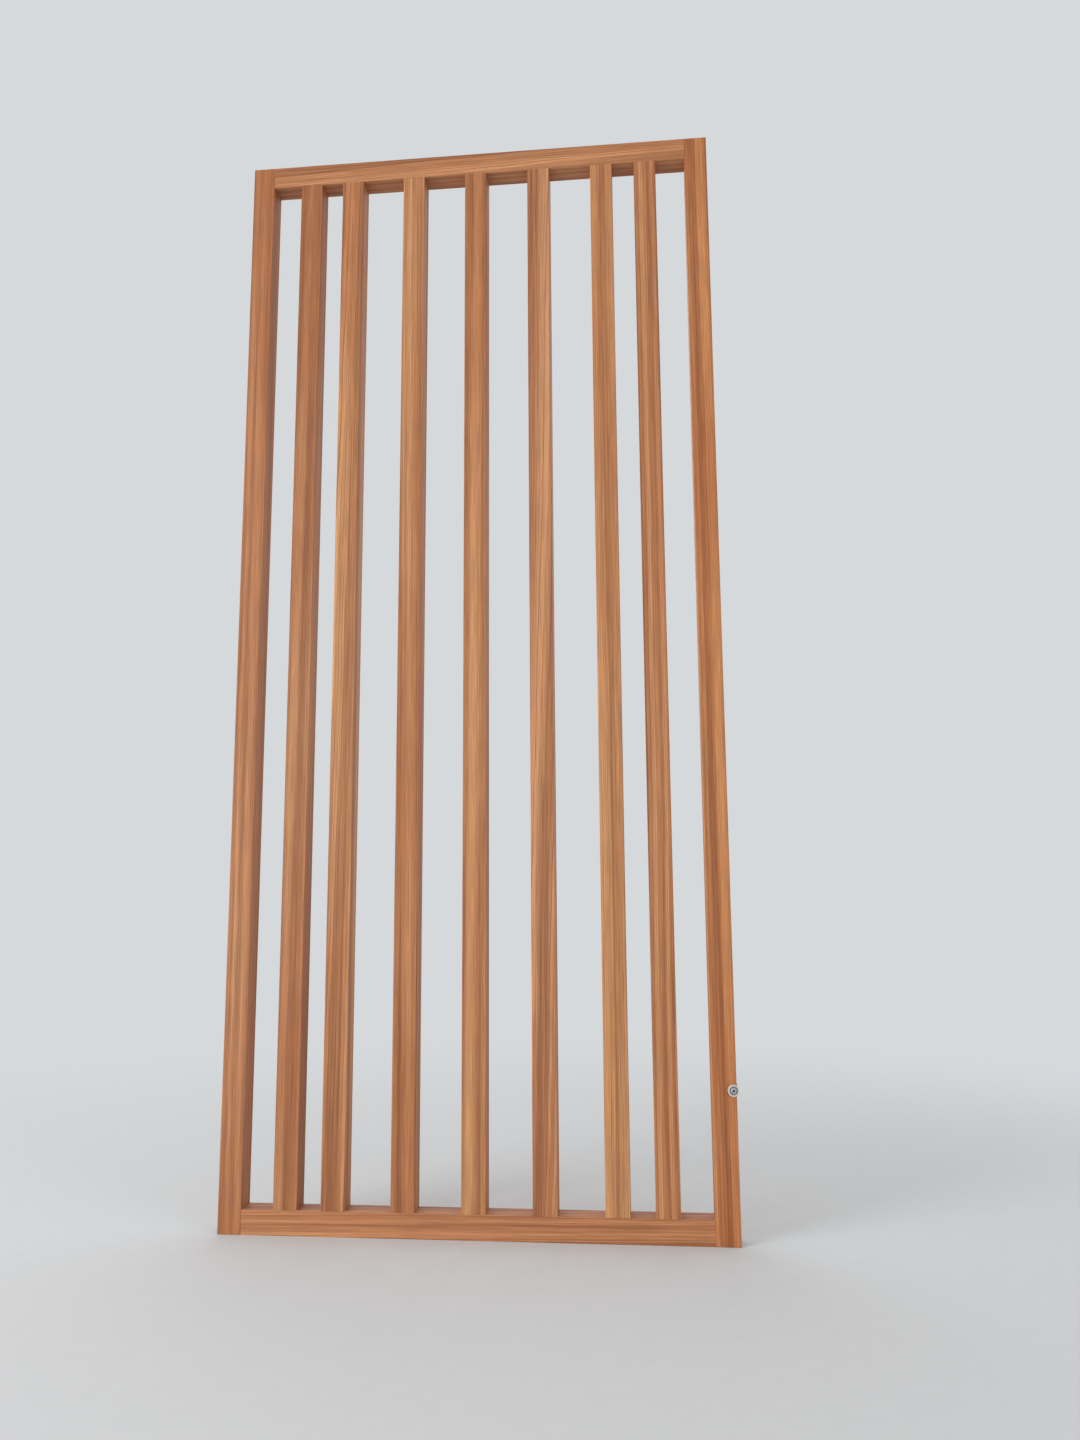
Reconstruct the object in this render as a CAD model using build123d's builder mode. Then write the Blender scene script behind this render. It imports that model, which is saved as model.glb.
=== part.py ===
from build123d import *
import os

# Sliding pocket gate leaf, in millimetres.
# X runs along the slide, Y through the thickness with the front at -Y, and Z is up.
# The origin is the middle of the bottom edge.

# The leaf
leaf_width = 812.8
leaf_height = 1828.8
leaf_thickness = 38.1
stile_width = 38.1
rail_height = 38.1
slat_width = 38.1
edge_gap = 50.8  # between a stile and its nearest slat
pair_gap = 38.1  # between the two slats of each outer pair
wide_gap_count = 4  # equal gaps across the middle, which take up what is left
arris_radius = 1.2  # eased long edges of every wood piece
end_chamfer = 0.8  # broken edges on the sawn ends of the stiles

# The mortise and tenon joints
tenon_thickness = 12.7
tenon_chamfer = 1.0
joint_clearance = 0.1  # on each side of a tenon
joint_end_gap = 0.8  # glue room past a tenon's end
slat_tenon_length = 12.7
slat_shoulder = 5.0  # on each narrow side of a slat's tenon
rail_tenon_length = 25.4
rail_outer_shoulder = 11.0  # wood left at the leaf's top and bottom ends
rail_inner_shoulder = 5.0

# The hanger plates on the top edge, with a clinched nut and two screws each
plate_length = 100.0
plate_width = 28.0
plate_thickness = 3.0
plate_corner_radius = 4.0
thread_radius = 4.0  # M8 hanger bolt
nut_across_flats = 13.0
nut_height = 8.0  # the hexagon under the plate
nut_collar_wall = 1.5  # the round collar that stands in the plate
nut_clearance = 0.05  # between the collar and its hole in the plate
nut_pocket_clearance = 1.0  # round the hexagon
bolt_reach = 30.0  # room for the bolt's end, below the leaf's top edge
plate_screw_spacing = 72.0
plate_screw_length = 25.0
plate_screw_radius = 2.1
plate_screw_head_radius = 4.2
plate_screw_clearance = 0.15  # between the screw and its countersunk hole

# The bumpers low on the right stile, one on each face
bumper_height_on_leaf = 226.6
bumper_radius = 9.0
bumper_overhang = 4.0  # past the stile's outer edge, so that the rubber meets the pocket's end first
bumper_projection = 7.0
bumper_rim_width = 2.5
bumper_rim_chamfer = 0.5
bumper_floor = 2.5  # rubber under the washer
washer_room = 0.5  # between the washer and the recess wall
washer_thickness = 1.0
bumper_screw_length = 19.0
bumper_screw_radius = 2.1
bumper_screw_clearance = 0.2  # round the shank in the washer and the rubber
bumper_screw_head_radius = 4.1
bumper_screw_head_height = 2.8
bumper_screw_head_crown = 1.2  # how far the pan head's top is set in and up from its rim

# What both kinds of screw share
pilot_clearance = 0.05
pilot_end_gap = 0.8
drive_span = 4.6
drive_slot = 1.2
drive_depth = 1.5

# Worked out from the sizes above
slat_count = wide_gap_count + 3
inner_width = leaf_width - 2 * stile_width
slat_length = leaf_height - 2 * rail_height
free_width = inner_width - 2 * edge_gap - 2 * pair_gap - slat_count * slat_width
gaps = [pair_gap] + [free_width / wide_gap_count] * wide_gap_count + [pair_gap]
slat_places = [-inner_width / 2 + edge_gap + slat_width / 2]
for gap in gaps:
    slat_places.append(slat_places[-1] + slat_width + gap)
slat_tenon_width = slat_width - 2 * slat_shoulder
rail_tenon_height = rail_height - rail_outer_shoulder - rail_inner_shoulder
rail_tenon_offset = (rail_outer_shoulder - rail_inner_shoulder) / 2  # towards the slats
hanger_places = {
    "left": (slat_places[0] + slat_places[1]) / 2,
    "right": (slat_places[-2] + slat_places[-1]) / 2,
}
nut_corner_radius = nut_across_flats / 3**0.5
nut_collar_radius = thread_radius + nut_collar_wall
plate_top = leaf_height + plate_thickness
plate_screw_places = [-plate_screw_spacing / 2, plate_screw_spacing / 2]
plate_screw_neck = plate_screw_head_radius - plate_screw_radius
bumper_place = leaf_width / 2 + bumper_overhang - bumper_radius
bumper_recess_radius = bumper_radius - bumper_rim_width
bumper_screw_in_wood = bumper_screw_length - bumper_floor - washer_thickness

# Cuts in the top edge as places, radius and depth: room for the nuts and bolt ends, pilot holes
hanger_centres = [(place, 0) for place in hanger_places.values()]
hanger_pilots = [(place + x, 0) for place in hanger_places.values() for x in plate_screw_places]
plate_screw_in_wood = plate_screw_length - plate_thickness
hanger_seats = [
    (hanger_centres, nut_corner_radius + nut_pocket_clearance, bolt_reach),
    (hanger_pilots, plate_screw_radius + pilot_clearance, plate_screw_in_wood + pilot_end_gap),
]

os.makedirs("parts", exist_ok=True)


def save(part, name):
    part.label = name
    export_step(part, f"parts/{name}.step")


def turning_plane(origin, outward):
    # for the half-outline of a turned piece: local x is the radius, local y points outward
    return Plane(origin=origin, x_dir=(1, 0, 0), z_dir=Vector(1, 0, 0).cross(Vector(*outward)))


def drive_cross(origin, outward):
    # the outline of the cross recess in a screw's head
    with BuildSketch(Plane(origin=origin, x_dir=(1, 0, 0), z_dir=outward)) as cross:
        Rectangle(drive_span, drive_slot)
        Rectangle(drive_slot, drive_span)
    return cross.sketch


# Stiles, with a blind mortise behind each rail
def make_stile(side, name):
    inner_face = side * inner_width / 2
    bottom_joint = rail_height / 2 + rail_tenon_offset
    with BuildPart() as stile:
        with BuildSketch(Plane.XY):
            with Locations((inner_face + side * stile_width / 2, 0)):
                RectangleRounded(stile_width, leaf_thickness, arris_radius)
        extrude(amount=leaf_height)
        chamfer(stile.faces().sort_by(Axis.Z)[0].edges(), end_chamfer)
        chamfer(stile.faces().sort_by(Axis.Z)[-1].edges(), end_chamfer)
        with BuildSketch(Plane(origin=(inner_face, 0, 0), x_dir=(0, side, 0), z_dir=(side, 0, 0))):
            with Locations((0, bottom_joint), (0, leaf_height - bottom_joint)):
                Rectangle(
                    tenon_thickness + 2 * joint_clearance,
                    rail_tenon_height + 2 * joint_clearance,
                )
        extrude(amount=rail_tenon_length + joint_end_gap, mode=Mode.SUBTRACT)
        if side > 0:
            for facing in (-1, 1):
                face_point = (bumper_place, facing * leaf_thickness / 2, bumper_height_on_leaf)
                with BuildSketch(Plane(origin=face_point, x_dir=(1, 0, 0), z_dir=(0, facing, 0))):
                    Circle(bumper_screw_radius + pilot_clearance)
                extrude(amount=-bumper_screw_in_wood - pilot_end_gap, mode=Mode.SUBTRACT)
    save(stile.part, name)


# Rails: tenons into the stiles, and a mortise for each slat
def make_rail(facing, name):
    # facing is 1 on the bottom rail, whose mortises open upwards, and -1 on the top rail
    inner_face = rail_height if facing > 0 else leaf_height - rail_height
    middle = inner_face - facing * rail_height / 2
    with BuildPart() as rail:
        with BuildSketch(Plane.YZ.offset(-inner_width / 2)):
            with Locations((0, middle)):
                RectangleRounded(leaf_thickness, rail_height, arris_radius)
        extrude(amount=inner_width)
        with BuildSketch(Plane.YZ.offset(-inner_width / 2 - rail_tenon_length)):
            with Locations((0, middle + facing * rail_tenon_offset)):
                Rectangle(tenon_thickness, rail_tenon_height)
        extrude(amount=inner_width + 2 * rail_tenon_length)
        chamfer(rail.faces().sort_by(Axis.X)[0].edges(), tenon_chamfer)
        chamfer(rail.faces().sort_by(Axis.X)[-1].edges(), tenon_chamfer)
        with BuildSketch(Plane(origin=(0, 0, inner_face), x_dir=(1, 0, 0), z_dir=(0, 0, facing))):
            with Locations(*[(place, 0) for place in slat_places]):
                Rectangle(
                    slat_tenon_width + 2 * joint_clearance,
                    tenon_thickness + 2 * joint_clearance,
                )
        extrude(amount=-slat_tenon_length - joint_end_gap, mode=Mode.SUBTRACT)
        for places, radius, depth in hanger_seats if facing < 0 else []:
            with BuildSketch(Plane.XY.offset(leaf_height)):
                with Locations(*places):
                    Circle(radius)
            extrude(amount=-depth, mode=Mode.SUBTRACT)
    save(rail.part, name)


# Slats, flush with the rails and stub-tenoned into both
def make_slat(place, name):
    with BuildPart() as slat:
        with BuildSketch(Plane.XY.offset(rail_height)):
            with Locations((place, 0)):
                RectangleRounded(slat_width, leaf_thickness, arris_radius)
        extrude(amount=slat_length)
        with BuildSketch(Plane.XY.offset(rail_height - slat_tenon_length)):
            with Locations((place, 0)):
                Rectangle(slat_tenon_width, tenon_thickness)
        extrude(amount=slat_length + 2 * slat_tenon_length)
        chamfer(slat.faces().sort_by(Axis.Z)[0].edges(), tenon_chamfer)
        chamfer(slat.faces().sort_by(Axis.Z)[-1].edges(), tenon_chamfer)
    save(slat.part, name)


# Hanger plate, flat on the top edge
def make_hanger_plate(place, name):
    with BuildPart() as plate:
        with BuildSketch(Plane.XY.offset(leaf_height)):
            with Locations((place, 0)):
                RectangleRounded(plate_length, plate_width, plate_corner_radius)
        extrude(amount=plate_thickness)
        with Locations((place, 0, plate_top)):
            Hole(nut_collar_radius + nut_clearance)
            with Locations(*[(x, 0) for x in plate_screw_places]):
                CounterSinkHole(
                    plate_screw_radius + plate_screw_clearance,
                    plate_screw_head_radius + plate_screw_clearance,
                    counter_sink_angle=90,
                )
    save(plate.part, name)


# Clinched nut: hexagon under the plate, round collar in it
def make_hanger_nut(place, name):
    with BuildPart() as nut:
        with BuildSketch(Plane.XY.offset(leaf_height - nut_height)):
            with Locations((place, 0)):
                RegularPolygon(nut_corner_radius, side_count=6)
        extrude(amount=nut_height)
        with BuildSketch(Plane.XY.offset(leaf_height)):
            with Locations((place, 0)):
                Circle(nut_collar_radius)
        extrude(amount=plate_thickness)
        with Locations((place, 0, plate_top)):
            Hole(thread_radius)
    save(nut.part, name)


# Countersunk wood screws, the pair of a plate in one group
def make_plate_screws(place, name):
    with BuildPart() as screws:
        for x in plate_screw_places:
            head_top = (place + x, 0, plate_top)
            with BuildSketch(turning_plane(head_top, (0, 0, 1))):
                with BuildLine():
                    Polyline(
                        (0, 0),
                        (plate_screw_head_radius, 0),
                        (plate_screw_radius, -plate_screw_neck),
                        (plate_screw_radius, -plate_screw_length),
                        (0, -plate_screw_length),
                        close=True,
                    )
                make_face()
            revolve(axis=Axis(head_top, (0, 0, 1)))
            extrude(drive_cross(head_top, (0, 0, 1)), amount=-drive_depth, mode=Mode.SUBTRACT)
    save(screws.part, name)


# Bumpers: moulded rubber, washer and pan-head screw, the same on both faces
def make_bumper(facing, name):
    outward = (0, facing, 0)
    seat = (bumper_place, facing * leaf_thickness / 2, bumper_height_on_leaf)
    with BuildPart() as bumper:
        with BuildSketch(turning_plane(seat, outward)) as outline:
            with BuildLine():
                Polyline(
                    (bumper_screw_radius + bumper_screw_clearance, 0),
                    (bumper_radius, 0),
                    (bumper_radius, bumper_projection),
                    (bumper_recess_radius, bumper_projection),
                    (bumper_recess_radius, bumper_floor),
                    (bumper_screw_radius + bumper_screw_clearance, bumper_floor),
                    close=True,
                )
            make_face()
            chamfer(outline.vertices().group_by(Axis.Y)[-1].sort_by(Axis.X)[-1], bumper_rim_chamfer)
        revolve(axis=Axis(seat, outward))
    save(bumper.part, name)


def make_bumper_washer(facing, name):
    washer_plane = Plane(
        origin=(bumper_place, facing * (leaf_thickness / 2 + bumper_floor), bumper_height_on_leaf),
        x_dir=(1, 0, 0),
        z_dir=(0, facing, 0),
    )
    with BuildPart() as washer:
        with BuildSketch(washer_plane):
            Circle(bumper_recess_radius - washer_room)
            Circle(bumper_screw_radius + bumper_screw_clearance, mode=Mode.SUBTRACT)
        extrude(amount=washer_thickness)
    save(washer.part, name)


def make_bumper_screw(facing, name):
    outward = (0, facing, 0)
    head_seat = leaf_thickness / 2 + bumper_floor + washer_thickness
    under_head = (bumper_place, facing * head_seat, bumper_height_on_leaf)
    head_top = (bumper_place, facing * (head_seat + bumper_screw_head_height), bumper_height_on_leaf)
    with BuildPart() as screw:
        with BuildSketch(turning_plane(under_head, outward)):
            with BuildLine():
                Polyline(
                    (0, bumper_screw_head_height),
                    (bumper_screw_head_radius - bumper_screw_head_crown, bumper_screw_head_height),
                    (bumper_screw_head_radius, bumper_screw_head_height - bumper_screw_head_crown),
                    (bumper_screw_head_radius, 0),
                    (bumper_screw_radius, 0),
                    (bumper_screw_radius, -bumper_screw_length),
                    (0, -bumper_screw_length),
                    close=True,
                )
            make_face()
        revolve(axis=Axis(under_head, outward))
        extrude(drive_cross(head_top, outward), amount=-drive_depth, mode=Mode.SUBTRACT)
    save(screw.part, name)


make_stile(-1, "stile_left")
make_stile(1, "stile_right")
make_rail(1, "rail_bottom")
make_rail(-1, "rail_top")
for number, place in enumerate(slat_places, start=1):
    make_slat(place, f"slat_{number}")
for side_name, place in hanger_places.items():
    make_hanger_plate(place, f"hanger_plate_{side_name}")
    make_hanger_nut(place, f"hanger_nut_{side_name}")
    make_plate_screws(place, f"hanger_screws_{side_name}")
for face_name, facing in (("front", -1), ("back", 1)):
    make_bumper(facing, f"{face_name}_bumper")
    make_bumper_washer(facing, f"{face_name}_bumper_washer")
    make_bumper_screw(facing, f"{face_name}_bumper_screw")
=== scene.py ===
import math

import bmesh
import bpy
from mathutils import Matrix, Vector


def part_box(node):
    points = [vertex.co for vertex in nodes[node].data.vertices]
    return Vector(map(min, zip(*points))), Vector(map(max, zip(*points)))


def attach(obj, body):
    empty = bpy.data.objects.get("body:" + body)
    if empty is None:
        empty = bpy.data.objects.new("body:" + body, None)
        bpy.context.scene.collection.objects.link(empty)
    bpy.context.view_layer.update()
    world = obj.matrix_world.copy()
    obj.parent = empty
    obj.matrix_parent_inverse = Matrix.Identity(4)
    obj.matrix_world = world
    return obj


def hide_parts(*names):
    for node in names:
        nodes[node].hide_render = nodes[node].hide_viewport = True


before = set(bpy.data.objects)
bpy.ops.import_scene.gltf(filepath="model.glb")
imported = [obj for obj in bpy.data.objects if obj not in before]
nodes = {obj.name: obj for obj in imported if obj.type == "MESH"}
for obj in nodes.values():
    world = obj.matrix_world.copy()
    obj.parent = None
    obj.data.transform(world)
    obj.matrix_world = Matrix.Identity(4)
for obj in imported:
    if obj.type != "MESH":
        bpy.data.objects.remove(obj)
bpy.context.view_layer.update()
print("gate leaf loaded, CAD nodes:", len(nodes))

mm = 0.001
upward = (0, 0, 1)
sharpAngle = math.radians(32)  # edges that bend more than this stay crisp


# Small helpers for shader trees

def toLinear(red, green, blue):
    # a colour as picked on screen, 0 to 255, in the shader's linear values
    linear = []
    for channel in (red, green, blue):
        c = channel / 255
        linear.append(c / 12.92 if c <= 0.04045 else ((c + 0.055) / 1.055) ** 2.4)
    return (*linear, 1.0)


def feed(tree, socket, value):
    if isinstance(value, bpy.types.NodeSocket):
        tree.links.new(value, socket)
    else:
        socket.default_value = value


def addNode(tree, kind, inputs=(), **settings):
    node = tree.nodes.new("ShaderNode" + kind)
    for name, value in settings.items():
        setattr(node, name, value)
    for name, value in dict(inputs).items():
        feed(tree, node.inputs[name], value)
    return node


def calc(tree, operation, *values):
    node = addNode(tree, "Math", enumerate(values), operation=operation)
    return node.outputs[0]


def calcVector(tree, operation, *values):
    node = addNode(tree, "VectorMath", enumerate(values), operation=operation)
    return node.outputs["Value" if operation in ("LENGTH", "DOT_PRODUCT") else "Vector"]


def between(tree, value, low, high):
    # low where the value is 0, high where it is 1
    return calc(tree, "MULTIPLY_ADD", value, high - low, low)


def ramp(tree, value, start, end, low=0.0, high=1.0):
    # smooth step from low to high while the value goes from start to end
    node = addNode(tree, "MapRange", interpolation_type="SMOOTHSTEP")
    for slot, given in enumerate((value, start, end, low, high)):
        feed(tree, node.inputs[slot], given)
    return node.outputs["Result"]


def mixColour(tree, factor, first, second, blend="MIX"):
    # inputs 0, 6 and 7 are the ones that a Mix node uses for colours
    node = addNode(tree, "Mix", data_type="RGBA", blend_type=blend)
    feed(tree, node.inputs[0], factor)
    feed(tree, node.inputs[6], first)
    feed(tree, node.inputs[7], second)
    return node.outputs[2]


def noiseNode(tree, vector, waves, detail):
    # 3-D noise with its own number of waves per metre on each axis
    scaled = calcVector(tree, "MULTIPLY", vector, waves)
    return addNode(tree, "TexNoise", {"Vector": scaled, "Scale": 1.0, "Detail": detail})


def noiseValue(tree, vector, waves, detail=2.0):
    return noiseNode(tree, vector, waves, detail).outputs[0]


def noiseVector(tree, vector, waves, detail=2.0):
    # the noise's colour, as a vector around zero
    colour = noiseNode(tree, vector, waves, detail).outputs[1]
    return calcVector(tree, "SUBTRACT", colour, (0.5, 0.5, 0.5))


def lineNoise(tree, value, detail=1.0):
    inputs = {"W": value, "Scale": 1.0, "Detail": detail}
    return addNode(tree, "TexNoise", inputs, noise_dimensions="1D").outputs[0]


def newGroup(name, takes, gives):
    # takes: (name, socket type, start value), gives: (name, socket type)
    tree = bpy.data.node_groups.new(name, "ShaderNodeTree")
    for label, kind, value in takes:
        socket = tree.interface.new_socket(name=label, in_out="INPUT", socket_type="NodeSocket" + kind)
        if value is not None:
            socket.default_value = value
    for label, kind in gives:
        tree.interface.new_socket(name=label, in_out="OUTPUT", socket_type="NodeSocket" + kind)
    return tree, tree.nodes.new("NodeGroupInput").outputs, tree.nodes.new("NodeGroupOutput").inputs


def useGroup(tree, group, inputs):
    node = tree.nodes.new("ShaderNodeGroup")
    node.node_tree = group
    for name, value in inputs.items():
        feed(tree, node.inputs[name], value)
    return node.outputs


def newMaterial(name):
    material = bpy.data.materials.new(name)
    material.use_nodes = True
    tree = material.node_tree
    tree.nodes.clear()
    shader = addNode(tree, "BsdfPrincipled")
    addNode(tree, "OutputMaterial", {"Surface": shader.outputs[0]})
    return material, tree, shader


def addBump(tree, shader, height, depth):
    bump = addNode(tree, "Bump", {"Height": height, "Distance": depth})
    feed(tree, shader.inputs["Normal"], bump.outputs[0])


# Board grain: growth rings round a pith line, and fibres and streaks. The grain runs along Z
grainParts = ("Latewood", "Ring Tone", "Zone", "Fibre", "Fleck", "Streak", "Drift")
growth = {
    "seedStep": (13.1, 7.7, 3.3),  # metres that a seed of 1 moves the noise
    "bendWaves": (2.4, 2.4, 0.5),  # per metre
    "wobbleWaves": (22, 22, 3.6),
    "wobbleShare": 0.22,  # of the wander that the long bends have
    "unevenRate": 0.23,  # how soon the rings change their width, in waves per year
    "unevenYears": 1.6,  # and how far that moves them
    "latewoodStart": (0.42, 0.72),  # of a year, in the earliest and the latest
    "latewoodFull": 0.92,
    "latewoodEnd": 0.95,
    "latewoodWeight": (0.3, 1.0),  # in the palest year and the darkest
    "zonesPerMetre": 75.0,  # runs of darker years, outwards from the pith
    "zoneLevels": (0.34, 0.66),
}
# waves per metre, detail, and the noise levels that count as none and as full
grainNoises = {
    "Fibre": ((1300, 1300, 11), 3, (0.34, 0.66)),
    "Fleck": ((360, 360, 15), 2, (0.32, 0.68)),
    "Streak": ((210, 210, 1.7), 3, (0.36, 0.66)),
    "Drift": ((9, 9, 1.1), 2, (0.3, 0.7)),
}


def makeBoardGrain():
    tree, given, out = newGroup(
        "boardGrain",
        [
            ("Place", "Vector", None),
            ("Seed", "Float", 0.0),
            ("Pith", "Vector", (0.1, 0.1, 0.0)),
            ("Run Out", "Vector", (0.0, 0.0, 0.0)),
            ("Ring Spacing", "Float", 0.0025),
            ("Wander", "Float", 0.02),
        ],
        [(part, "Float") for part in grainParts],
    )
    seeds = addNode(tree, "CombineXYZ", {axis: given["Seed"] for axis in "XYZ"}).outputs[0]
    shift = calcVector(tree, "MULTIPLY", seeds, growth["seedStep"])
    seeded = calcVector(tree, "ADD", given["Place"], shift)

    # where each point of the board lies in the trunk, with the pith straight
    bend = noiseVector(tree, seeded, growth["bendWaves"])
    wobble = noiseVector(tree, seeded, growth["wobbleWaves"])
    bendScale = addNode(tree, "CombineXYZ", {"X": given["Wander"], "Y": given["Wander"]}).outputs[0]
    wobbleShare = growth["wobbleShare"]
    wobbleScale = calcVector(tree, "MULTIPLY", bendScale, (wobbleShare, wobbleShare, 0))
    along = addNode(tree, "SeparateXYZ", {"Vector": given["Place"]}).outputs["Z"]
    alongTwice = addNode(tree, "CombineXYZ", {"X": along, "Y": along}).outputs[0]
    leaning = calcVector(tree, "MULTIPLY", given["Run Out"], alongTwice)
    moved = calcVector(tree, "ADD", given["Place"], leaning)
    moved = calcVector(tree, "ADD", moved, calcVector(tree, "MULTIPLY", bend, bendScale))
    moved = calcVector(tree, "ADD", moved, calcVector(tree, "MULTIPLY", wobble, wobbleScale))
    fromPith = calcVector(tree, "SUBTRACT", moved, given["Pith"])
    radius = calcVector(tree, "LENGTH", calcVector(tree, "MULTIPLY", fromPith, (1, 1, 0)))

    # the years, each with its own width and its own strength of latewood
    years = calc(tree, "DIVIDE", radius, given["Ring Spacing"])
    uneven = lineNoise(tree, calc(tree, "MULTIPLY_ADD", years, growth["unevenRate"], given["Seed"]))
    years = calc(tree, "MULTIPLY_ADD", uneven, growth["unevenYears"], years)
    season = calc(tree, "FRACT", years)
    yearSeed = calc(tree, "ADD", calc(tree, "FLOOR", years), given["Seed"])
    chance = addNode(tree, "TexWhiteNoise", {"W": yearSeed}, noise_dimensions="1D").outputs["Value"]
    start = between(tree, chance, *growth["latewoodStart"])
    autumn = ramp(tree, season, start, growth["latewoodFull"])
    winter = ramp(tree, season, growth["latewoodEnd"], 1.0, low=1.0, high=0.0)
    weight = between(tree, calc(tree, "MULTIPLY", chance, chance), *growth["latewoodWeight"])
    latewood = calc(tree, "MULTIPLY", calc(tree, "MULTIPLY", autumn, winter), weight)
    feed(tree, out["Latewood"], latewood)
    feed(tree, out["Ring Tone"], chance)

    zonePlace = calc(tree, "MULTIPLY_ADD", radius, growth["zonesPerMetre"], given["Seed"])
    feed(tree, out["Zone"], ramp(tree, lineNoise(tree, zonePlace, detail=2), *growth["zoneLevels"]))
    for part, (waves, detail, levels) in grainNoises.items():
        feed(tree, out[part], ramp(tree, noiseValue(tree, seeded, waves, detail), *levels))
    return tree


# Colour, gloss and relief of an oiled board, from its grain
boardFinish = {
    # how far the dark wood comes through, in a ring, and in a streak outside and inside the zones
    "ringMix": 0.75,
    "streakMix": (0.12, 0.42),
    # how bright the wood is where each of these is none and where it is full
    "tones": {
        "Fibre": (0.9, 1.1),
        "Fleck": (0.91, 1.09),
        "Ring Tone": (0.96, 1.04),
        "End Grain": (1.0, 0.58),
        "Arris": (1.0, 1.12),
    },
    "roughness": 0.5,
    "addedRoughness": {
        "Fibre": 0.10,
        "Latewood": -0.07,
        "Drift": 0.06,
        "Arris": 0.10,
        "End Grain": 0.25,
    },
    "ringRelief": 0.6,
    "fibreRelief": 0.4,
}


def makeBoardFinish():
    tree, given, out = newGroup(
        "oiledBoardFinish",
        [(part, "Float", 0.0) for part in grainParts] + [
            ("End Grain", "Float", 0.0),
            ("Arris", "Float", 0.0),
            ("Tint", "Color", (1, 1, 1, 1)),
            ("Light Wood", "Color", None),
            ("Warm Wood", "Color", None),
            ("Deep Wood", "Color", None),
            ("Dark Wood", "Color", None),
            ("Zone Strength", "Float", 0.5),
        ],
        [("Color", "Color"), ("Roughness", "Float"), ("Height", "Float")],
    )
    ground = mixColour(tree, given["Drift"], given["Light Wood"], given["Warm Wood"])
    zoneMix = calc(tree, "MULTIPLY", given["Zone"], given["Zone Strength"])
    ground = mixColour(tree, zoneMix, ground, given["Deep Wood"])
    ringMix = calc(tree, "MULTIPLY", given["Latewood"], boardFinish["ringMix"])
    ground = mixColour(tree, ringMix, ground, given["Dark Wood"])
    streakStrength = between(tree, given["Zone"], *boardFinish["streakMix"])
    streakMix = calc(tree, "MULTIPLY", given["Streak"], streakStrength)
    ground = mixColour(tree, streakMix, ground, given["Dark Wood"])

    tone = 1.0
    for part, (least, most) in boardFinish["tones"].items():
        tone = calc(tree, "MULTIPLY", tone, between(tree, given[part], least, most))
    shade = addNode(tree, "CombineColor", {"Red": tone, "Green": tone, "Blue": tone}).outputs[0]
    ground = mixColour(tree, 1.0, ground, shade, "MULTIPLY")
    feed(tree, out["Color"], mixColour(tree, 1.0, ground, given["Tint"], "MULTIPLY"))

    rough = boardFinish["roughness"]
    for part, added in boardFinish["addedRoughness"].items():
        rough = calc(tree, "MULTIPLY_ADD", given[part], added, rough)
    feed(tree, out["Roughness"], rough)
    fibreHeight = calc(tree, "MULTIPLY", given["Fibre"], boardFinish["fibreRelief"])
    height = calc(tree, "MULTIPLY_ADD", given["Latewood"], boardFinish["ringRelief"], fibreHeight)
    feed(tree, out["Height"], height)
    return tree


# Where hands meet a bar: its long edges and its ends, in broken patches
arrisPatches = {"waves": (70, 70, 22), "levels": (0.35, 0.65), "strength": (0.3, 1.0)}


def makeEasedArris():
    tree, given, out = newGroup(
        "easedArris",
        [
            ("Place", "Vector", None),
            ("Half Size", "Vector", (0.019, 0.019, 0.9)),
            ("Reach", "Float", 0.003),
        ],
        [("Mask", "Float")],
    )
    fromMiddle = calcVector(tree, "ABSOLUTE", given["Place"])
    pastFaces = calcVector(tree, "SUBTRACT", fromMiddle, given["Half Size"])
    split = addNode(tree, "SeparateXYZ", {"Vector": pastFaces})
    inside = calc(tree, "MULTIPLY", given["Reach"], -1.0)
    near = [ramp(tree, split.outputs[axis], inside, 0.0) for axis in range(3)]
    pairs = [calc(tree, "MULTIPLY", near[a], near[b]) for a, b in ((0, 1), (0, 2), (1, 2))]
    edge = calc(tree, "MAXIMUM", pairs[0], calc(tree, "MAXIMUM", pairs[1], pairs[2]))
    patchNoise = noiseValue(tree, given["Place"], arrisPatches["waves"], detail=3)
    patches = ramp(tree, patchNoise, *arrisPatches["levels"])
    strength = between(tree, patches, *arrisPatches["strength"])
    feed(tree, out["Mask"], calc(tree, "MULTIPLY", edge, strength))
    return tree


# Soft smudges and fine specks, on any finish
marks = {"smudgeLevels": (0.38, 0.66), "speckleLevels": (0.3, 0.7), "specklesPerSmudge": 14.0}


def makeHandlingMarks():
    tree, given, out = newGroup(
        "handlingMarks",
        [("Place", "Vector", None), ("Marks Per Metre", "Float", 30.0)],
        [("Smudge", "Float"), ("Speckle", "Float")],
    )
    coarse = given["Marks Per Metre"]
    fine = calc(tree, "MULTIPLY", coarse, marks["specklesPerSmudge"])
    smudge = addNode(tree, "TexNoise", {"Vector": given["Place"], "Scale": coarse, "Detail": 3.0})
    speckle = addNode(tree, "TexNoise", {"Vector": given["Place"], "Scale": fine, "Detail": 2.0})
    feed(tree, out["Smudge"], ramp(tree, smudge.outputs[0], *marks["smudgeLevels"]))
    feed(tree, out["Speckle"], ramp(tree, speckle.outputs[0], *marks["speckleLevels"]))
    return tree


boardGrain = makeBoardGrain()
oiledBoardFinish = makeBoardFinish()
easedArris = makeEasedArris()
handlingMarks = makeHandlingMarks()
print("shared effects ready")


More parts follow.
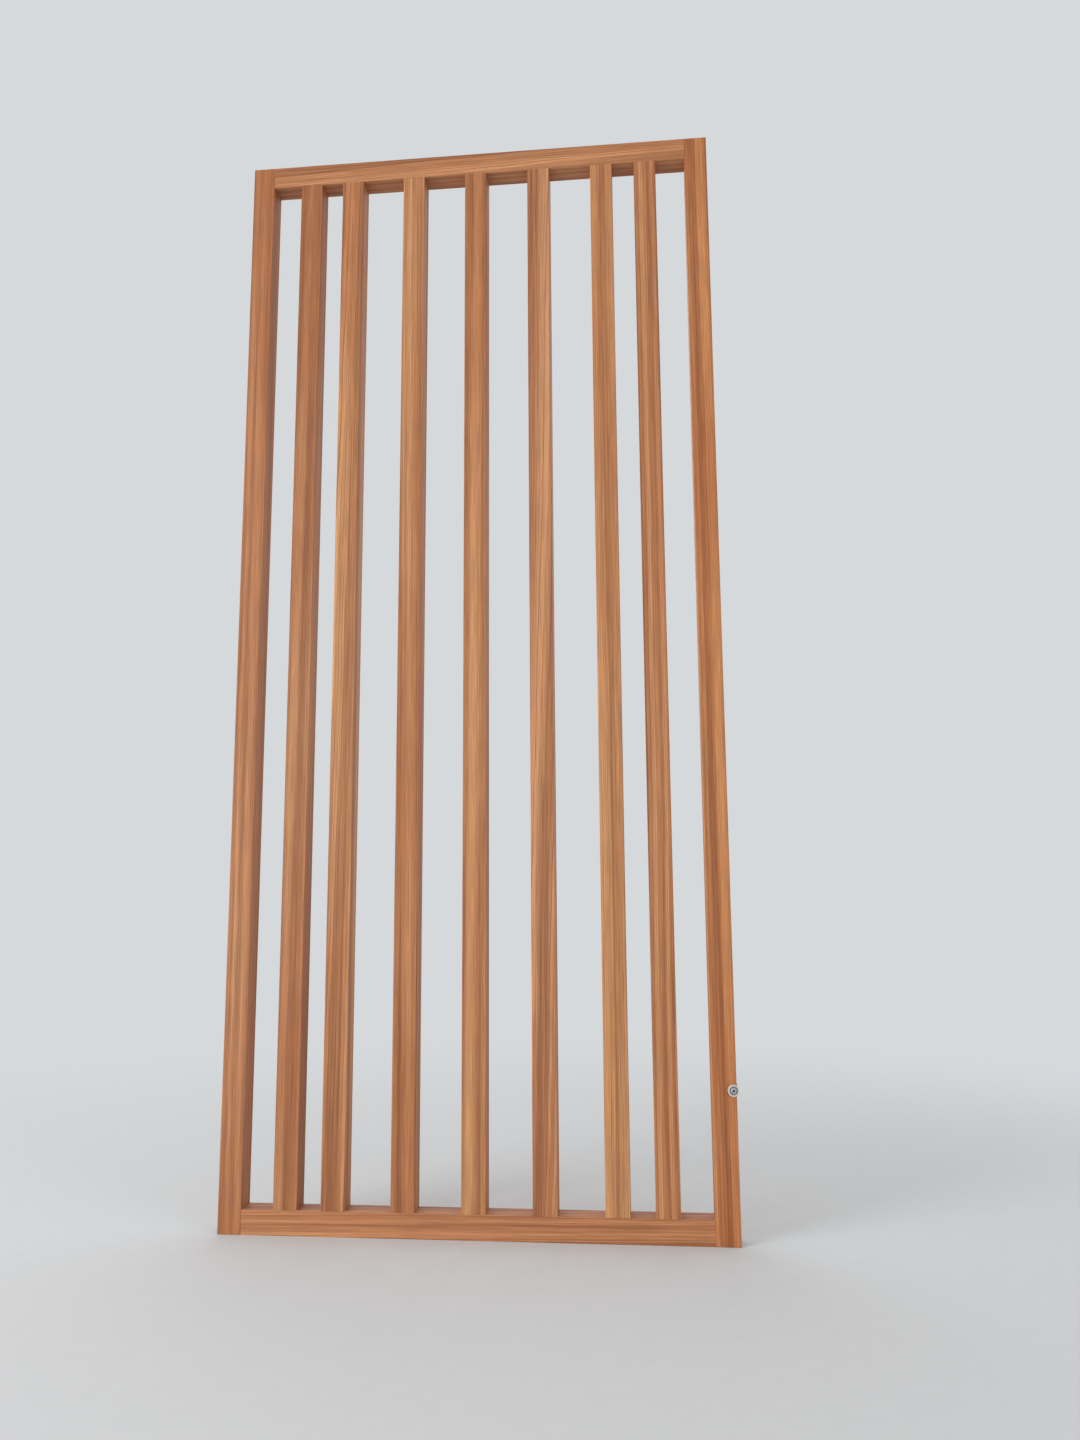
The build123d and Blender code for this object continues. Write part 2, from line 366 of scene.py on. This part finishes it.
# The redwood bars. Tint, pith and zone come from how each bar looks
redwood = {
    "lightWood": (204, 148, 103),
    "warmWood": (181, 118, 76),
    "deepWood": (150, 92, 56),
    "darkWood": (108, 60, 38),
    "zone": 0.55,
    "endGrainLevels": (0.6, 0.95),  # of how squarely a face looks along the grain
    "arrisReach": 0.0028,
    "relief": 0.00006,
    "shine": 0.3,
}
bars = {
    "stile_left": {"seed": 0.31, "pith": (0.12, 0.05), "runOut": (0.008, -0.004), "rings": 0.0024,
                   "tint": (0.97, 0.95, 0.95)},
    "stile_right": {"seed": 1.51, "pith": (-0.13, 0.08), "runOut": (0.010, 0.006), "rings": 0.0030,
                    "tint": (1.03, 0.93, 0.80), "zone": 0.6},
    "rail_top": {"seed": 1.13, "pith": (0.07, 0.12), "runOut": (0.012, 0.010), "rings": 0.0026,
                 "tint": (0.95, 0.91, 0.89)},
    "rail_bottom": {"seed": 0.77, "pith": (-0.14, 0.03), "runOut": (0.018, -0.006), "rings": 0.0028,
                    "tint": (0.97, 0.90, 0.88)},
    "slat_1": {"seed": 1.91, "pith": (0.15, 0.04), "runOut": (-0.010, 0.004), "rings": 0.0022,
               "tint": (0.93, 0.92, 0.91)},
    "slat_2": {"seed": 0.53, "pith": (-0.08, 0.13), "runOut": (0.006, 0.012), "rings": 0.0027,
               "tint": (1.02, 1.03, 1.01)},
    "slat_3": {"seed": 2.03, "pith": (0.11, 0.07), "runOut": (0.020, -0.008), "rings": 0.0025,
               "tint": (0.99, 0.98, 0.95)},
    "slat_4": {"seed": 1.37, "pith": (-0.16, 0.06), "runOut": (-0.005, 0.003), "rings": 0.0021,
               "tint": (1.01, 1.00, 0.96)},
    "slat_5": {"seed": 0.19, "pith": (0.10, 0.14), "runOut": (-0.014, -0.010), "rings": 0.0031,
               "tint": (0.99, 0.97, 1.00)},
    "slat_6": {"seed": 2.71, "pith": (-0.12, 0.10), "runOut": (0.009, 0.007), "rings": 0.0023,
               "tint": (1.06, 1.09, 1.04), "zone": 0.3},
    "slat_7": {"seed": 1.67, "pith": (0.13, 0.02), "runOut": (0.004, -0.012), "rings": 0.0029,
               "tint": (0.98, 0.92, 0.88), "zone": 0.8},
}


def makeOiledRedwood(name, bar):
    material, tree, shader = newMaterial(name + "_oiled_redwood")
    low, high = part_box(name)
    size = high - low
    alongX = size.x > size.z
    half = Vector((size.z, size.y, size.x) if alongX else size) / 2
    where = addNode(tree, "TexCoord")
    # the bar's own place, from its middle and with Z along it
    turned = {
        "Vector": where.outputs["Object"],
        "Location": (low + high) / 2,
        "Rotation": (0, math.pi / 2 if alongX else 0, 0),
    }
    local = addNode(tree, "Mapping", turned, vector_type="TEXTURE").outputs[0]
    grain = useGroup(
        tree,
        boardGrain,
        {
            "Place": local,
            "Seed": bar["seed"],
            "Pith": (*bar["pith"], 0),
            "Run Out": (*bar["runOut"], 0),
            "Ring Spacing": bar["rings"],
        },
    )
    lengthways = (1, 0, 0) if alongX else (0, 0, 1)
    facing = calcVector(tree, "DOT_PRODUCT", where.outputs["Normal"], lengthways)
    arrisPlace = {"Place": local, "Half Size": half, "Reach": redwood["arrisReach"]}
    look = useGroup(
        tree,
        oiledBoardFinish,
        {
            **{part: grain[part] for part in grainParts},
            "End Grain": ramp(tree, calc(tree, "ABSOLUTE", facing), *redwood["endGrainLevels"]),
            "Arris": useGroup(tree, easedArris, arrisPlace)["Mask"],
            "Tint": (*bar["tint"], 1.0),
            "Light Wood": toLinear(*redwood["lightWood"]),
            "Warm Wood": toLinear(*redwood["warmWood"]),
            "Deep Wood": toLinear(*redwood["deepWood"]),
            "Dark Wood": toLinear(*redwood["darkWood"]),
            "Zone Strength": bar.get("zone", redwood["zone"]),
        },
    )
    feed(tree, shader.inputs["Base Color"], look["Color"])
    feed(tree, shader.inputs["Roughness"], look["Roughness"])
    shader.inputs["Specular IOR Level"].default_value = redwood["shine"]
    addBump(tree, shader, look["Height"], redwood["relief"])
    return material


def dress(piece, material):
    piece.data.materials.clear()
    piece.data.materials.append(material)
    for face in piece.data.polygons:
        face.material_index = 0


for name, bar in bars.items():
    dress(nodes[name], makeOiledRedwood(name, bar))
print("redwood bars dressed:", len(bars))


# Metal and rubber. Each pair of roughnesses is where a mark is none and where it is full
zincSteel = {
    "clear": (192, 195, 199),
    "cloudy": (176, 181, 186),
    # painted shade: the cut-in faces of the screws' recesses, the nut bores and the plates' holes are
    # drawn darker, as if shaded
    "paintedRecessShade": (98, 100, 103),  # in the screws' recesses and the plates' holes
    "marksPerMetre": 90.0,
    "roughness": (0.46, 0.53),
    "speckleRoughness": 0.08,
    "relief": 0.00001,
}
greyRubber = {
    "skin": (218, 216, 211),
    "worn": (192, 189, 183),
    "grime": (132, 126, 118),
    "grimeShare": 0.12,
    "marksPerMetre": 160.0,
    "roughness": (0.45, 0.60),
    "relief": 0.00005,
}


def makeZincSteel():
    material, tree, shader = newMaterial("zinc_plated_steel")
    where = addNode(tree, "TexCoord").outputs["Object"]
    given = {"Place": where, "Marks Per Metre": zincSteel["marksPerMetre"]}
    worn = useGroup(tree, handlingMarks, given)
    clear = toLinear(*zincSteel["clear"])
    plated = mixColour(tree, worn["Smudge"], clear, toLinear(*zincSteel["cloudy"]))
    # painted shade: faces marked as cut in are drawn darker, standing in for the shade inside recesses
    # and holes
    paintedRecessShade = addNode(tree, "Attribute", attribute_name="paintedRecessShade").outputs["Fac"]
    colour = mixColour(tree, paintedRecessShade, plated, toLinear(*zincSteel["paintedRecessShade"]))
    feed(tree, shader.inputs["Base Color"], colour)
    rough = between(tree, worn["Smudge"], *zincSteel["roughness"])
    rough = calc(tree, "MULTIPLY_ADD", worn["Speckle"], zincSteel["speckleRoughness"], rough)
    feed(tree, shader.inputs["Roughness"], rough)
    shader.inputs["Metallic"].default_value = 1.0
    addBump(tree, shader, worn["Speckle"], zincSteel["relief"])
    return material


def makeGreyRubber():
    material, tree, shader = newMaterial("grey_bumper_rubber")
    where = addNode(tree, "TexCoord").outputs["Object"]
    given = {"Place": where, "Marks Per Metre": greyRubber["marksPerMetre"]}
    worn = useGroup(tree, handlingMarks, given)
    clean = toLinear(*greyRubber["skin"])
    skin = mixColour(tree, worn["Smudge"], clean, toLinear(*greyRubber["worn"]))
    grimy = calc(tree, "MULTIPLY", worn["Speckle"], greyRubber["grimeShare"])
    colour = mixColour(tree, grimy, skin, toLinear(*greyRubber["grime"]))
    feed(tree, shader.inputs["Base Color"], colour)
    feed(tree, shader.inputs["Roughness"], between(tree, worn["Smudge"], *greyRubber["roughness"]))
    addBump(tree, shader, worn["Speckle"], greyRubber["relief"])
    return material


zincMaterial = makeZincSteel()
rubberMaterial = makeGreyRubber()
for name, node in nodes.items():
    if name not in bars:
        dress(node, rubberMaterial if name.endswith("bumper") else zincMaterial)
print("metal and rubber dressed")


# Small turned pieces, finer than the CAD solids that they stand for

def roundedProfile(corners, steps=5):
    # corners as (radius, height, rounding) in mm; a rounded corner becomes an arc of a few points
    points = []
    for index, (radius, height, rounding) in enumerate(corners):
        corner = Vector((radius, height))
        if not rounding:
            points.append(corner)
            continue
        before = Vector(corners[index - 1][:2]) - corner
        after = Vector(corners[(index + 1) % len(corners)][:2]) - corner
        before.normalize()
        after.normalize()
        half = before.angle(after) / 2
        centre = corner + (before + after).normalized() * (rounding / math.sin(half))
        start = corner + before * (rounding / math.tan(half)) - centre
        finish = corner + after * (rounding / math.tan(half)) - centre
        turn = start.angle_signed(finish)
        for step in range(steps + 1):
            swung = start.copy()
            swung.rotate(Matrix.Rotation(-turn * step / steps, 2))
            points.append(centre + swung)
    return points


def turnedMesh(bm, profile, seat, outward, segments):
    # revolves a half-outline round the line through seat; its heights go outward, in mm
    axis = Vector(outward)
    side = Vector((1, 0, 0))
    other = axis.cross(side)
    angles = [2 * math.pi * i / segments for i in range(segments)]
    rings = []
    for radius, height in profile:
        middle = Vector(seat) + axis * (height * mm)
        if radius == 0:
            rings.append([bm.verts.new(middle)])
            continue
        spokes = [side * math.cos(angle) + other * math.sin(angle) for angle in angles]
        rings.append([bm.verts.new(middle + spoke * (radius * mm)) for spoke in spokes])
    pairs = list(zip(rings, rings[1:]))
    if len(rings[0]) > 1:
        pairs.append((rings[-1], rings[0]))
    for low, high in pairs:
        for i in range(segments):
            j = (i + 1) % segments
            below = [low[i % len(low)], low[j % len(low)]]
            above = [high[j % len(high)], high[i % len(high)]]
            bm.faces.new(dict.fromkeys(below + above))  # a ring on the axis has one point


def makePiece(name, bm, material, replaced, sharpFrom=sharpAngle):
    bmesh.ops.recalc_face_normals(bm, faces=bm.faces)
    mesh = bpy.data.meshes.new(name)
    bm.to_mesh(mesh)
    bm.free()
    mesh.shade_smooth()
    mesh.set_sharp_from_angle(angle=sharpFrom)
    piece = bpy.data.objects.new(name, mesh)
    bpy.context.scene.collection.objects.link(piece)
    mesh.materials.append(material)
    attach(piece, "root")
    if replaced:
        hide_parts(*replaced)
    return piece


def markFaces(mesh, value):
    # tells the zinc finish which faces were cut in, so that it paints shade on them
    mark = mesh.attributes.new("paintedRecessShade", "FLOAT", "FACE")
    mark.data.foreach_set("value", [value] * len(mesh.polygons))


def cutAway(piece, cutterMesh):
    # takes the cutter's shape out of the piece for good
    bmesh.ops.recalc_face_normals(cutterMesh, faces=cutterMesh.faces)
    mesh = bpy.data.meshes.new("cutter")
    cutterMesh.to_mesh(mesh)
    cutterMesh.free()
    cutter = bpy.data.objects.new("cutter", mesh)
    bpy.context.scene.collection.objects.link(cutter)
    markFaces(piece.data, 0.0)
    # the cut faces carry the mark for the painted recess shade
    markFaces(mesh, 1.0)
    difference = piece.modifiers.new("cut", "BOOLEAN")
    difference.object = cutter
    difference.solver = "EXACT"
    bpy.context.view_layer.update()
    shaped = piece.evaluated_get(bpy.context.evaluated_depsgraph_get())
    result = bpy.data.meshes.new_from_object(shaped)
    piece.modifiers.clear()
    old = piece.data
    piece.data = result
    bpy.data.objects.remove(cutter)
    bpy.data.meshes.remove(old)
    result.set_sharp_from_angle(angle=sharpAngle)


# What all the screws share, in mm: a cross recess that narrows as it goes in, and a blunt point
driveCross = {
    "span": 5.2,
    "slot": 1.3,
    "heart": 1.5,  # where the inner corners are cut off
    "depth": 2.0,
    "narrowing": 0.45,  # its size at the bottom, of what it is at the top
    "over": 0.4,  # how far the cutter stands out of the head, and how much it grows there
    "flare": 1.08,
}
screwPoint = {"length": 3.0, "radius": 0.6, "neckRounding": 0.8, "rounding": 0.3}


def crossCutter(bm, top, outward, turn):
    # turn is how far the screw was left turned, in degrees
    axis = Vector(outward)
    side = Vector((1, 0, 0))
    side.rotate(Matrix.Rotation(math.radians(turn), 3, axis))
    other = axis.cross(side)
    half, reach, heart = driveCross["slot"] / 2, driveCross["span"] / 2, driveCross["heart"]
    outline = []
    for turns in range(4):
        for x, y in ((reach, -half), (reach, half), (heart, half), (half, heart)):
            for _ in range(turns):
                x, y = -y, x
            outline.append((x, y))
    ends = (
        (driveCross["over"], driveCross["flare"]),
        (-driveCross["depth"], driveCross["narrowing"]),
    )
    rings = []
    for height, scale in ends:
        at = Vector(top) + axis * (height * mm)
        rings.append([bm.verts.new(at + (side * x + other * y) * (scale * mm)) for x, y in outline])
    bm.faces.new(rings[0])
    bm.faces.new(rings[1])
    for i in range(len(outline)):
        j = (i + 1) % len(outline)
        bm.faces.new((rings[0][i], rings[0][j], rings[1][j], rings[1][i]))


def shankOutline(radius, end):
    # the shank's lower end in a screw's half-outline, down to its point
    return [
        (radius, end + screwPoint["length"], screwPoint["neckRounding"]),
        (screwPoint["radius"], end, screwPoint["rounding"]),
        (0, end, 0),
    ]


# The rubber bumpers, with their washers and screws, in mm out from the wood's face
bumper = {
    "draft": 0.4,
    "rimWidth": 2.5,
    "bore": 2.3,
    "footRounding": 0.25,
    "rimRounding": 0.7,
    "mouthRounding": 0.6,
    "floorRounding": 0.4,
    "washerFootRounding": 0.2,
    "washerTopRounding": 0.35,
    "washerBoreRounding": 0.15,
    "shankRadius": 2.1,
    "headBrim": 1.2,  # a wafer head, wider than the solid's plain one
    "headFlat": 0.9,
    "headCrown": 1.6,
    "crownDrop": 0.1,
    "crownRounding": 1.2,
    "brimRounding": 0.5,
    "seatRounding": 0.15,
    "turn": {"front": 38, "back": 12},
    "segments": 96,
}


def outwardSpan(node, face, facing):
    # how far from the wood's face a node starts and ends, and its radius
    low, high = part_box(node)
    ends = sorted((facing * (low.y - face) / mm, facing * (high.y - face) / mm))
    return ends[0], ends[1], (high.x - low.x) / 2 / mm


def makeBumperSet(side, facing):
    low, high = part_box(side + "_bumper")
    face = high.y if facing < 0 else low.y
    seat = ((low.x + high.x) / 2, face, (low.z + high.z) / 2)
    outward = (0, facing, 0)
    _, height, outer = outwardSpan(side + "_bumper", face, facing)
    floor, washerTop, washerRadius = outwardSpan(side + "_bumper_washer", face, facing)
    shankEnd, headTop, plainRadius = outwardSpan(side + "_bumper_screw", face, facing)
    headRadius = plainRadius + bumper["headBrim"]
    recess = outer - bumper["rimWidth"]

    rubber = bmesh.new()
    profile = roundedProfile([
        (bumper["bore"], 0, 0),
        (outer, 0, bumper["footRounding"]),
        (outer - bumper["draft"], height, bumper["rimRounding"]),
        (recess, height, bumper["mouthRounding"]),
        (recess, floor, bumper["floorRounding"]),
        (bumper["bore"], floor, 0),
    ])
    turnedMesh(rubber, profile, seat, outward, bumper["segments"])
    makePiece(side + "_bumper_rubber", rubber, rubberMaterial, [side + "_bumper"])

    washer = bmesh.new()
    profile = roundedProfile([
        (bumper["bore"], floor, 0),
        (washerRadius, floor, bumper["washerFootRounding"]),
        (washerRadius, washerTop, bumper["washerTopRounding"]),
        (bumper["bore"], washerTop, bumper["washerBoreRounding"]),
    ])
    turnedMesh(washer, profile, seat, outward, bumper["segments"])
    makePiece(side + "_washer", washer, zincMaterial, [side + "_bumper_washer"])

    screw = bmesh.new()
    profile = roundedProfile([
        (0, headTop, 0),
        (headRadius - bumper["headCrown"], headTop - bumper["crownDrop"], bumper["crownRounding"]),
        (headRadius, washerTop + bumper["headFlat"], bumper["brimRounding"]),
        (headRadius, washerTop, bumper["seatRounding"]),
        (bumper["shankRadius"], washerTop, 0),
        *shankOutline(bumper["shankRadius"], shankEnd),
    ])
    turnedMesh(screw, profile, seat, outward, bumper["segments"])
    replaced = [side + "_bumper_screw"]
    piece = makePiece(side + "_pan_screw", screw, zincMaterial, replaced)
    cutter = bmesh.new()
    crown = Vector(seat) + Vector(outward) * (headTop * mm)
    crossCutter(cutter, crown, outward, bumper["turn"][side])
    cutAway(piece, cutter)


for side, facing in (("front", -1), ("back", 1)):
    makeBumperSet(side, facing)
print("bumpers made")


# The hanger plates with their clinched nuts and countersunk screws, in mm
hanger = {
    "plateCorner": 4.0,
    "cornerSteps": 8,
    "plateEdge": 0.5,
    "edgeSteps": 4,
    "plateFoot": 0.15,
    "collarRadius": 5.5,
    "collarGap": 0.05,
    "collarEdge": 0.15,
    "nutPoints": 96,
    "nutRounding": 0.8,
    "shankRadius": 2.1,
    "holeClearance": 0.15,
    "headRounding": 0.12,
    "neckRounding": 0.6,
    "turns": {"left": (21, 64), "right": (48, 7)},
    "cutterPast": 1.0,  # how far a cutter runs past the metal
    "segments": 64,
}


def roundedRectangle(length, width, radius):
    steps = hanger["cornerSteps"]
    points = []
    for quarter, (x, y) in enumerate(((1, 1), (-1, 1), (-1, -1), (1, -1))):
        for step in range(steps + 1):
            angle = math.pi / 2 * (quarter + step / steps)
            points.append((
                x * (length / 2 - radius) + radius * math.cos(angle),
                y * (width / 2 - radius) + radius * math.sin(angle),
            ))
    return points


def addLayers(bm, centre, layers):
    # a closed body from outlines stacked upwards, each as height above centre and points, in mm
    rings = []
    for height, outline in layers:
        rings.append([bm.verts.new(centre + Vector((x, y, height)) * mm) for x, y in outline])
    for low, high in zip(rings, rings[1:]):
        for i in range(len(low)):
            j = (i + 1) % len(low)
            bm.faces.new((low[i], low[j], high[j], high[i]))
    bm.faces.new(rings[0])
    bm.faces.new(rings[-1])


def makeHangerPlate(side):
    low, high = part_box("hanger_plate_" + side)
    screwLow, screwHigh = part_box("hanger_screws_" + side)
    size = (high - low) / mm
    centre = Vector(((low.x + high.x) / 2, (low.y + high.y) / 2, low.z))
    edge, corner = hanger["plateEdge"], hanger["plateCorner"]
    insets = [(0, hanger["plateFoot"]), (hanger["plateFoot"], 0)]
    for step in range(hanger["edgeSteps"] + 1):
        bend = math.pi / 2 * step / hanger["edgeSteps"]
        insets.append((size.z - edge + edge * math.sin(bend), edge * (1 - math.cos(bend))))
    plate = bmesh.new()
    addLayers(plate, centre, [
        (height, roundedRectangle(size.x - 2 * inset, size.y - 2 * inset, corner - inset))
        for height, inset in insets
    ])
    piece = makePiece("plate_" + side, plate, zincMaterial, ["hanger_plate_" + side])

    past = hanger["cutterPast"]
    hole = hanger["collarRadius"] + hanger["collarGap"]
    bore = hanger["shankRadius"] + hanger["holeClearance"]
    headRadius = (screwHigh.y - screwLow.y) / 2 / mm
    neck = hanger["shankRadius"] - headRadius
    bottom = -size.z - past
    cutter = bmesh.new()
    profile = [(0, past), (hole, past), (hole, bottom), (0, bottom)]
    turnedMesh(cutter, profile, (centre.x, centre.y, high.z), upward, hanger["segments"])
    for x in (screwLow.x + headRadius * mm, screwHigh.x - headRadius * mm):
        sink = headRadius + hanger["holeClearance"] + past
        profile = [(0, past), (sink, past), (bore, neck), (bore, bottom), (0, bottom)]
        turnedMesh(cutter, profile, (x, centre.y, high.z), upward, hanger["segments"])
    cutAway(piece, cutter)


def makePlateScrews(side):
    low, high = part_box("hanger_screws_" + side)
    length = (high.z - low.z) / mm
    headRadius = (high.y - low.y) / 2 / mm
    shankRadius = hanger["shankRadius"]
    screws = bmesh.new()
    cutter = bmesh.new()
    for x, turn in zip((low.x + headRadius * mm, high.x - headRadius * mm), hanger["turns"][side]):
        seat = (x, (low.y + high.y) / 2, high.z)
        profile = roundedProfile([
            (0, 0, 0),
            (headRadius, 0, hanger["headRounding"]),
            (shankRadius, shankRadius - headRadius, hanger["neckRounding"]),
            *shankOutline(shankRadius, -length),
        ])
        turnedMesh(screws, profile, seat, upward, hanger["segments"])
        crossCutter(cutter, seat, upward, turn)
    replaced = ["hanger_screws_" + side]
    piece = makePiece("plate_screws_" + side, screws, zincMaterial, replaced)
    cutAway(piece, cutter)


# The thread in each nut, in mm
thread = {
    "root": 4.0,
    "bury": 0.03,  # how far its root goes into the nut's wall
    "crest": 3.4,
    "crestHalf": 0.1,
    "flankHalf": 0.44,  # of the pitch
    "pitch": 1.25,
    "lead": 0.6,  # the cone at each mouth
    "inset": 0.7,
    "fadeSteps": 20,  # the crest fades in and out over these
    "sharpAngle": 25,
}


def makeHangerNut(side):
    # a hexagon turned round at its lower end, with a round collar on it
    low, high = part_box("hanger_nut_" + side)
    plateLow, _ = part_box("hanger_plate_" + side)
    centre = Vector(((low.x + high.x) / 2, (low.y + high.y) / 2, low.z))
    flat = (high.y - low.y) / 2 / mm
    corner = 2 * flat
    hexHeight = (plateLow.z - low.z) / mm
    total = (high.z - low.z) / mm
    collar, edge = hanger["collarRadius"], hanger["collarEdge"]
    # each layer's height and widest radius
    rims = [(0, flat), (hanger["nutRounding"], corner), (hexHeight, corner)]
    rims += [(hexHeight, collar), (total - edge, collar), (total, collar - edge)]
    layers = []
    for height, widest in rims:
        outline = []
        for i in range(hanger["nutPoints"]):
            angle = 2 * math.pi * i / hanger["nutPoints"]
            fromFlat = angle % (math.pi / 3) - math.pi / 6
            radius = min(widest, flat / math.cos(fromFlat))
            outline.append((radius * math.cos(angle), radius * math.sin(angle)))
        layers.append((height, outline))
    nut = bmesh.new()
    addLayers(nut, centre, layers)
    piece = makePiece("nut_" + side, nut, zincMaterial, ["hanger_nut_" + side])

    past, root, lead = hanger["cutterPast"], thread["root"], thread["lead"]
    mouth = root + lead + past
    profile = [
        (0, past), (mouth, past), (root, -lead),
        (root, lead - total), (mouth, -total - past), (0, -total - past),
    ]
    cutter = bmesh.new()
    turnedMesh(cutter, profile, (centre.x, centre.y, high.z), upward, hanger["segments"])
    cutAway(piece, cutter)


def makeNutThread(side):
    low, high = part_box("hanger_nut_" + side)
    centre = (low + high) / 2
    segments = hanger["segments"]
    root = thread["root"] + thread["bury"]
    start = low.z + thread["inset"] * mm
    turns = (high.z - low.z - 2 * thread["inset"] * mm) / (thread["pitch"] * mm)
    steps = int(turns * segments)
    flank, flat = thread["pitch"] * thread["flankHalf"], thread["crestHalf"]
    ridge = bmesh.new()
    before = None
    for step in range(steps + 1):
        angle = 2 * math.pi * step / segments
        full = min(1.0, step / thread["fadeSteps"], (steps - step) / thread["fadeSteps"])
        crest = root - (root - thread["crest"]) * full
        z = start + thread["pitch"] * mm * step / segments
        ring = []
        for radius, offset in ((root, -flank), (crest, -flat), (crest, flat), (root, flank)):
            ring.append(ridge.verts.new((
                centre.x + radius * mm * math.cos(angle),
                centre.y + radius * mm * math.sin(angle),
                z + offset * mm,
            )))
        if before:
            for i in range(4):
                j = (i + 1) % 4
                ridge.faces.new((before[i], before[j], ring[j], ring[i]))
        else:
            ridge.faces.new(ring)
        before = ring
    ridge.faces.new(before)
    sharpFrom = math.radians(thread["sharpAngle"])
    makePiece("hanger_nut_thread_" + side, ridge, zincMaterial, [], sharpFrom)


for side in ("left", "right"):
    makeHangerPlate(side)
    makeHangerNut(side)
    makeNutThread(side)
    makePlateScrews(side)
print("hanger hardware made")


# Stage, light and camera
stage = {
    "paleColour": (214, 217, 219),
    "mottleColour": (190, 192, 194),
    "mottleWaves": (40, 40, 40),
    "mottleLevels": (0.3, 0.7),
    "mottleStrength": 0.06,
    "roughness": 0.9,
    "radius": 40.0,
    "fade": (0.8, 2.3),  # metres from the middle, where the floor turns into the backdrop
    "airStrength": 0.68,
}
softboxes = {
    "key_softbox": {"place": (-3.0, -2.6, 1.3), "size": (1.8, 2.2), "power": 90.0},
    "fill_softbox": {"place": (2.9, -2.4, 1.0), "size": (1.6, 2.0), "power": 18.0},
    "back_softbox": {"place": (-0.8, 3.2, 2.8), "size": (3.6, 3.0), "power": 30.0},
}
lightTarget = (0.0, 0.0, 0.9)
# stands low in front of the leaf, right of its middle, and looks up at it
view = {
    "place": (0.2812, -1.7574, 0.5406),
    "right": (0.99497, 0.09991, -0.00675),
    "up": (0.02158, -0.1481, 0.98874),
    "forward": (-0.09779, 0.98391, 0.14951),
    "lens": 27.05,
    "sensorWidth": 36.0,
}


def seenDirectly(tree):
    # 1 where a camera, glossy or transmission ray arrives
    path = addNode(tree, "LightPath").outputs
    seen = calc(tree, "MAXIMUM", path["Is Camera Ray"], path["Is Glossy Ray"])
    return calc(tree, "MAXIMUM", seen, path["Is Transmission Ray"])


def makeFloor():
    mesh = bpy.data.meshes.new("studio_floor")
    disc = bmesh.new()
    bmesh.ops.create_circle(disc, cap_ends=True, radius=stage["radius"], segments=96)
    disc.to_mesh(mesh)
    disc.free()
    floor = bpy.data.objects.new("studio_floor", mesh)
    bpy.context.scene.collection.objects.link(floor)
    material, tree, shader = newMaterial("studio_floor")
    where = addNode(tree, "TexCoord").outputs["Object"]
    speckle = noiseValue(tree, where, stage["mottleWaves"], detail=3)
    mottle = ramp(tree, speckle, *stage["mottleLevels"], high=stage["mottleStrength"])
    pale = toLinear(*stage["paleColour"])
    colour = mixColour(tree, mottle, pale, toLinear(*stage["mottleColour"]))
    feed(tree, shader.inputs["Base Color"], colour)
    shader.inputs["Roughness"].default_value = stage["roughness"]
    glow = addNode(tree, "Emission", {"Color": pale})
    far = ramp(tree, calcVector(tree, "LENGTH", where), *stage["fade"])
    seen = calc(tree, "MULTIPLY", far, seenDirectly(tree))
    mix = addNode(tree, "MixShader", {0: seen, 1: shader.outputs[0], 2: glow.outputs[0]})
    output = next(n for n in tree.nodes if n.type == "OUTPUT_MATERIAL")
    feed(tree, output.inputs["Surface"], mix.outputs[0])
    mesh.materials.append(material)


def makeWorld():
    world = bpy.data.worlds.new("studio_air")
    world.use_nodes = True
    tree = world.node_tree
    tree.nodes.clear()
    pale = toLinear(*stage["paleColour"])
    light = addNode(tree, "Background", {"Color": (1, 1, 1, 1), "Strength": stage["airStrength"]})
    backdrop = addNode(tree, "Background", {"Color": pale, "Strength": 1.0})
    seen = seenDirectly(tree)
    mix = addNode(tree, "MixShader", {0: seen, 1: light.outputs[0], 2: backdrop.outputs[0]})
    addNode(tree, "OutputWorld", {"Surface": mix.outputs[0]})
    bpy.context.scene.world = world


def addSoftbox(name, place, size, power):
    lamp = bpy.data.lights.new(name, "AREA")
    lamp.shape = "RECTANGLE"
    lamp.size, lamp.size_y = size
    lamp.energy = power
    box = bpy.data.objects.new(name, lamp)
    box.location = place
    box.rotation_euler = (Vector(lightTarget) - Vector(place)).to_track_quat("-Z", "Y").to_euler()
    box.visible_camera = False
    bpy.context.scene.collection.objects.link(box)


def addCamera():
    camera = bpy.data.objects.new("camera", bpy.data.cameras.new("camera"))
    camera.data.lens = view["lens"]
    camera.data.sensor_width = view["sensorWidth"]
    right, up, forward = Vector(view["right"]), Vector(view["up"]), Vector(view["forward"])
    turn = Matrix((right, up, -forward)).transposed().to_4x4()
    camera.matrix_world = Matrix.Translation(view["place"]) @ turn
    bpy.context.scene.collection.objects.link(camera)
    bpy.context.scene.camera = camera


makeFloor()
makeWorld()
for name, box in softboxes.items():
    addSoftbox(name, **box)
addCamera()
bpy.context.scene.view_settings.view_transform = "Standard"
print("stage, light and camera set")
